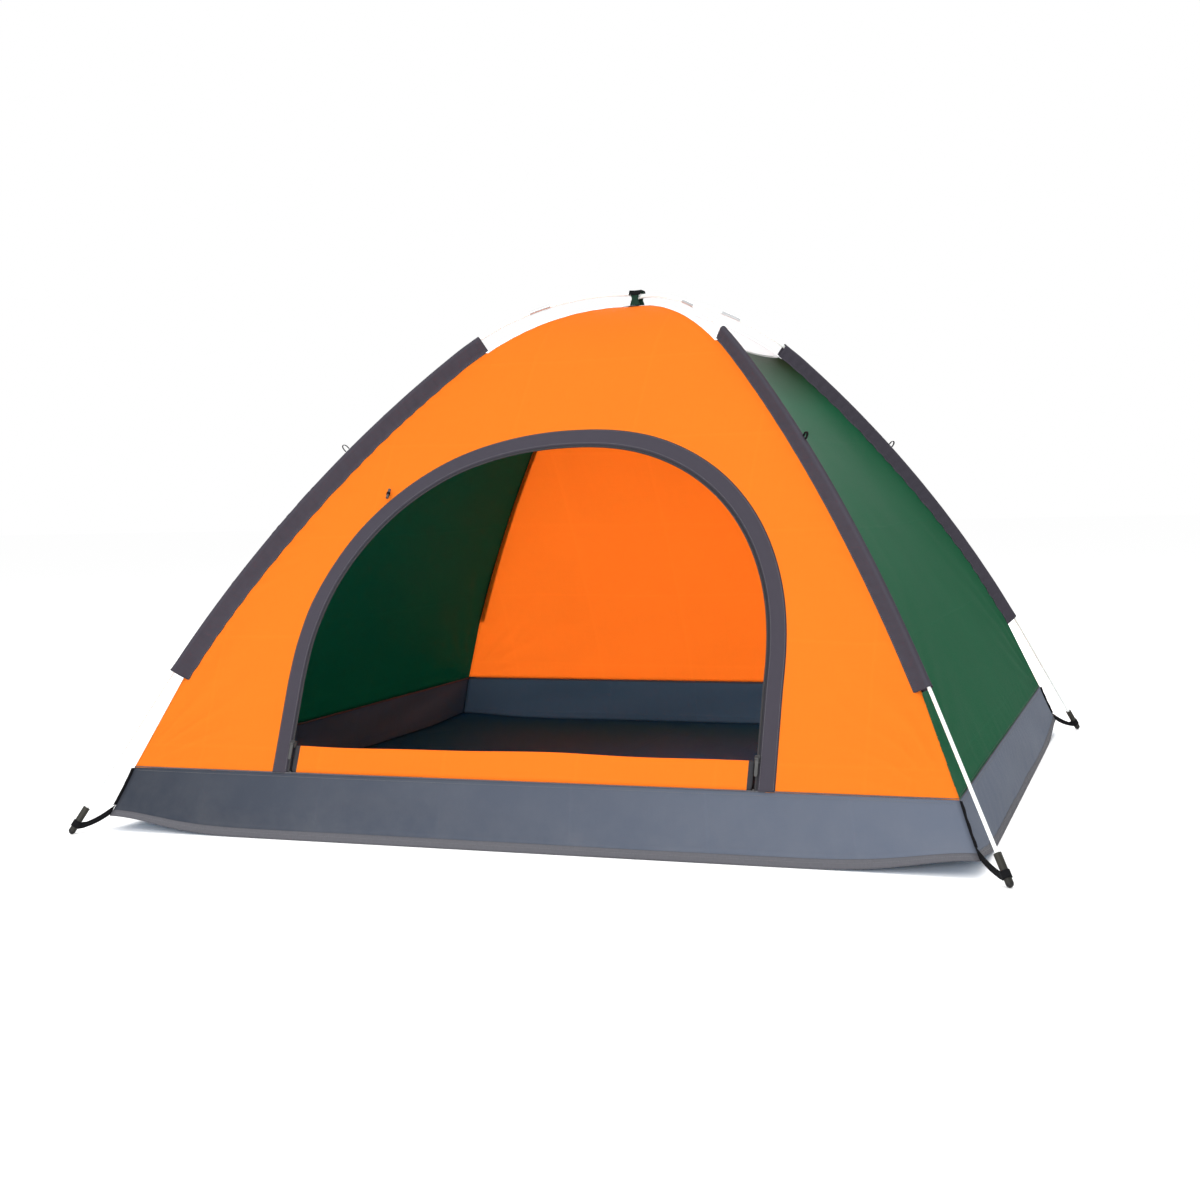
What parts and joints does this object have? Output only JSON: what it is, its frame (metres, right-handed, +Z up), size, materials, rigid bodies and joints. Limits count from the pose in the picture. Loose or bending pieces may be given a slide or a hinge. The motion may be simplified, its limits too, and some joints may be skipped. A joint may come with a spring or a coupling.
{
  "type": "two-pole dome tent",
  "caption": "Free-standing dome tent: two crossing jointed poles in sleeves, four sloping panels, a tub floor and an open D-shaped zip door with sliding pulls.",
  "frame": {"origin": "on the ground, under the crown where the poles cross", "axes": "+Z up, -Y is the side with the door, +X is the right hand side seen from outside the door"},
  "size_m": [2.1376, 2.1376, 1.2997],
  "materials": {
    "orange_polyester": "satin coated woven polyester",
    "green_polyester": "satin coated woven polyester",
    "slate_oxford": "coated oxford cloth, slightly shiny",
    "floor_cloth": "woven polyethylene, dull",
    "white_mesh": "fine knitted mesh",
    "charcoal_fabric": "coarse woven sleeve cloth",
    "white_tape": "woven tape",
    "black_webbing": "ribbed polypropylene webbing",
    "strap_webbing": "ribbed dark green webbing",
    "zip_tape_cloth": "woven zip tape",
    "zip_coil": "nylon coil",
    "zip_metal": "black painted die casting",
    "fibreglass": "smooth pultruded rod",
    "ferrule_metal": "drawn tube",
    "cap_rubber": "moulded, slightly shiny",
    "elastic_cord": "braided elastic",
    "toggle_plastic": "moulded"
  },
  "bodies": {
    "tent": {"ground_sheet": "floor_cloth", "tub_wall_front": "slate_oxford", "tub_wall_back": "slate_oxford", "tub_wall_left": "slate_oxford", "tub_wall_right": "slate_oxford", "panel_front": "orange_polyester", "panel_back": "orange_polyester", "panel_left": "green_polyester", "panel_right": "green_polyester", "roof_vent_left": "white_mesh", "roof_vent_right": "white_mesh", "sleeve_front_left": "charcoal_fabric", "hip_tape_front_left": "white_tape", "foot_cap_front_left": "cap_rubber", "corner_tab_front_left": "black_webbing", "sleeve_front_right": "charcoal_fabric", "hip_tape_front_right": "white_tape", "foot_cap_front_right": "cap_rubber", "corner_tab_front_right": "black_webbing", "sleeve_back_left": "charcoal_fabric", "hip_tape_back_left": "white_tape", "foot_cap_back_left": "cap_rubber", "corner_tab_back_left": "black_webbing", "sleeve_back_right": "charcoal_fabric", "hip_tape_back_right": "white_tape", "foot_cap_back_right": "cap_rubber", "corner_tab_back_right": "black_webbing", "crown_patch": "white_tape", "crown_strap": "strap_webbing", "crown_strap_tab": "black_webbing", "door_border": "charcoal_fabric", "door_zip_tape": "zip_tape_cloth", "door_zip_chain": "zip_coil", "zip_end_stops": "zip_metal", "door_flap": "orange_polyester", "door_toggle": "toggle_plastic", "door_toggle_loop": "black_webbing", "guy_loops": "white_tape", "over_pole_section_1": "fibreglass", "over_pole_section_2": "fibreglass", "over_pole_section_3": "fibreglass", "over_pole_section_4": "fibreglass", "over_pole_section_5": "fibreglass", "over_pole_section_6": "fibreglass", "over_pole_section_7": "fibreglass", "over_pole_ferrules": "ferrule_metal", "over_pole_shock_cord": "elastic_cord", "under_pole_section_1": "fibreglass", "under_pole_section_2": "fibreglass", "under_pole_section_3": "fibreglass", "under_pole_section_4": "fibreglass", "under_pole_section_5": "fibreglass", "under_pole_section_6": "fibreglass", "under_pole_section_7": "fibreglass", "under_pole_ferrules": "ferrule_metal", "under_pole_shock_cord": "elastic_cord"},
    "slider_left": {"zip_slider_left": "zip_metal"},
    "pull_left": {"zip_pull_left": "zip_metal"},
    "slider_right": {"zip_slider_right": "zip_metal"},
    "pull_right": {"zip_pull_right": "zip_metal"}
  },
  "joints": [
    {"name": "zip_slide_left", "type": "slide", "parent": "tent", "child": "slider_left", "axis": [0, 0.3892, 0.9212], "range_m": [-0.05, 0.12]},
    {"name": "zip_pull_swing_left", "type": "hinge", "parent": "slider_left", "child": "pull_left", "pos_m": [-0.5442, -0.93599, 0.20835], "axis": [-1, 0, 0], "range_deg": [0, 150]},
    {"name": "zip_slide_right", "type": "slide", "parent": "tent", "child": "slider_right", "axis": [0, 0.3892, 0.9212], "range_m": [-0.05, 0.12]},
    {"name": "zip_pull_swing_right", "type": "hinge", "parent": "slider_right", "child": "pull_right", "pos_m": [0.5442, -0.93599, 0.20835], "axis": [-1, 0, 0], "range_deg": [0, 150]}
  ]
}
